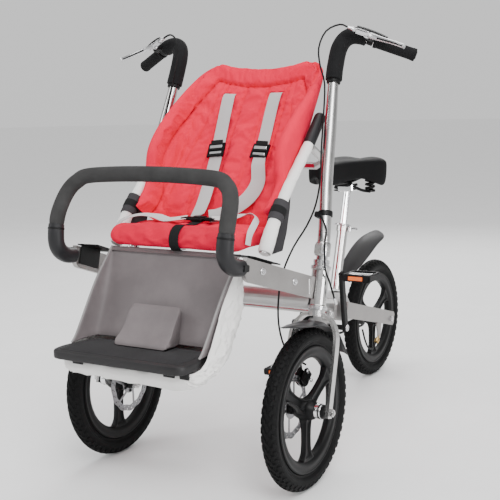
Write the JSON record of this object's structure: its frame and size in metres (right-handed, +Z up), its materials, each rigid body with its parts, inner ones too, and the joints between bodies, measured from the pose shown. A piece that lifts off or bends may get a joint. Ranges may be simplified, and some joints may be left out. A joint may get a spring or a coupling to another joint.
{
  "type": "stroller tricycle",
  "caption": "Child stroller with a reclined bucket seat between two steered front wheels, upright twin handles, and a bicycle rear end with saddle, pedals and one wheel.",
  "frame": {"origin": "centre of the bounding box at ground level", "axes": "+Z up, the child faces -Y, +X is the child's left"},
  "size_m": [0.8752, 1.626, 1.1353],
  "materials": {
    "silver": "satin",
    "arm_grey": "brushed",
    "steel": "brushed",
    "chrome": "polished",
    "black_metal": "satin",
    "black_plastic": "matte",
    "saddle_cover": "matte",
    "grey_plastic": "matte",
    "tyre": "matte",
    "foam": "matte",
    "red_fabric": "woven",
    "grey_panel": "matte",
    "white_fabric": "woven"
  },
  "bodies": {
    "frame": {"crossbeam": "silver", "main_beam": "silver", "head_tube_left": "silver", "head_tube_right": "silver", "bike_seat_tube": "silver", "rear_arm_left": "arm_grey", "rear_arm_right": "arm_grey", "side_arm_left": "arm_grey", "side_arm_right": "arm_grey", "seat_bracket_left": "black_metal", "seat_bracket_right": "black_metal", "rear_mudguard": "grey_plastic", "rear_axle": "steel", "chain": "black_metal"},
    "steer_left": {"fork_left": "silver", "front_mudguard_left": "grey_plastic", "brake_caliper_left": "black_metal", "stem_left": "silver", "foam_cover_left": "foam", "grip_left": "foam", "lever_mount_left": "black_metal", "brake_cable_left": "black_plastic"},
    "front_wheel_left": {"tyre_left": "tyre", "wheel_left": "black_metal", "brake_rotor_left": "steel"},
    "lever_left": {"brake_lever_left": "steel"},
    "pedal_body_left": {"pedal_left": "black_plastic"},
    "steer_right": {"fork_right": "silver", "front_mudguard_right": "grey_plastic", "brake_caliper_right": "black_metal", "stem_right": "silver", "foam_cover_right": "foam", "grip_right": "foam", "lever_mount_right": "black_metal", "brake_cable_right": "black_plastic"},
    "front_wheel_right": {"tyre_right": "tyre", "wheel_right": "black_metal", "brake_rotor_right": "steel"},
    "lever_right": {"brake_lever_right": "steel"},
    "pedal_body_right": {"pedal_right": "black_plastic"},
    "track_rod": {"tie_rod": "silver"},
    "rear_wheel_body": {"tyre_rear": "tyre", "wheel_rear": "black_metal"},
    "freewheel_sprocket": {"rear_sprocket": "black_metal"},
    "cranks": {"crankset": "black_metal", "crank_left": "black_metal"},
    "saddle_post": {"saddle": "saddle_cover", "seat_post": "chrome"},
    "post_clamp_lever": {"seatpost_lever": "steel"},
    "bumper": {"bumper_bar": "grey_plastic", "bumper_foam": "foam"},
    "child_seat": {"seat_back_pad": "red_fabric", "seat_cushion": "red_fabric", "seat_frame": "silver", "leg_panel": "grey_panel", "calf_block": "grey_panel", "footrest": "black_plastic", "basket_cover": "white_fabric", "harness_buckle": "black_plastic"}
  },
  "joints": [
    {"name": "steer_left_turn", "type": "hinge", "parent": "frame", "child": "steer_left", "pos_m": [0.289, -0.3575, 0.489], "axis": [0, 0.2419, 0.9703], "range_deg": [-14, 14]},
    {"name": "steer_right_turn", "type": "hinge", "parent": "frame", "child": "steer_right", "pos_m": [-0.289, -0.3575, 0.489], "axis": [0, 0.2419, 0.9703], "range_deg": [-14, 14]},
    {"name": "track_rod_swing", "type": "hinge", "parent": "steer_left", "child": "track_rod", "pos_m": [0.289, -0.29924, 0.41264], "axis": [0, 0.2419, 0.9703], "range_deg": [-14, 14]},
    {"name": "front_wheel_left_spin", "type": "hinge", "parent": "steer_left", "child": "front_wheel_left", "pos_m": [0.289, -0.4335, 0.2], "axis": [1, 0, 0], "continuous": true},
    {"name": "brake_lever_left_squeeze", "type": "hinge", "parent": "steer_left", "child": "lever_left", "pos_m": [0.33, -0.1575, 1.108], "axis": [0.4254, -0.1775, 0.8874], "range_deg": [0, 14], "stiffness_Nm_per_rad": 1, "springref_deg": -6.88},
    {"name": "front_wheel_right_spin", "type": "hinge", "parent": "steer_right", "child": "front_wheel_right", "pos_m": [-0.289, -0.4335, 0.2], "axis": [1, 0, 0], "continuous": true},
    {"name": "brake_lever_right_squeeze", "type": "hinge", "parent": "steer_right", "child": "lever_right", "pos_m": [-0.33, -0.1575, 1.108], "axis": [0.4254, 0.1775, -0.8874], "range_deg": [0, 14], "stiffness_Nm_per_rad": 1, "springref_deg": -6.88},
    {"name": "rear_wheel_spin", "type": "hinge", "parent": "frame", "child": "rear_wheel_body", "pos_m": [0, 0.6135, 0.2], "axis": [1, 0, 0], "continuous": true},
    {"name": "sprocket_spin", "type": "hinge", "parent": "frame", "child": "freewheel_sprocket", "pos_m": [0, 0.6135, 0.2], "axis": [1, 0, 0], "continuous": true},
    {"name": "crank_spin", "type": "hinge", "parent": "frame", "child": "cranks", "pos_m": [0, 0.2145, 0.251], "axis": [1, 0, 0], "continuous": true},
    {"name": "pedal_left_spin", "type": "hinge", "parent": "cranks", "child": "pedal_body_left", "pos_m": [0, 0.19084, 0.41935], "axis": [1, 0, 0], "continuous": true},
    {"name": "pedal_right_spin", "type": "hinge", "parent": "cranks", "child": "pedal_body_right", "pos_m": [0, 0.23816, 0.08265], "axis": [1, 0, 0], "continuous": true},
    {"name": "saddle_height", "type": "slide", "parent": "frame", "child": "saddle_post", "axis": [0, 0.2928, 0.9562], "range_m": [-0.05, 0.08]},
    {"name": "post_clamp_release", "type": "hinge", "parent": "frame", "child": "post_clamp_lever", "pos_m": [0.0265, 0.37772, 0.53392], "axis": [0, 0.2928, 0.9562], "range_deg": [-100, 0]},
    {"name": "bumper_swing", "type": "hinge", "parent": "frame", "child": "bumper", "pos_m": [0, -0.61796, 0.56687], "axis": [1, 0, 0], "range_deg": [0, 80]},
    {"name": "seat_lift", "type": "slide", "parent": "frame", "child": "child_seat", "axis": [0, -0.5736, 0.8191], "range_m": [0, 0.08]}
  ],
  "couplings": [
    {"joint": "steer_right_turn", "follows": "steer_left_turn", "ratio": 1},
    {"joint": "track_rod_swing", "follows": "steer_left_turn", "ratio": -1},
    {"joint": "sprocket_spin", "follows": "crank_spin", "ratio": 2}
  ]
}
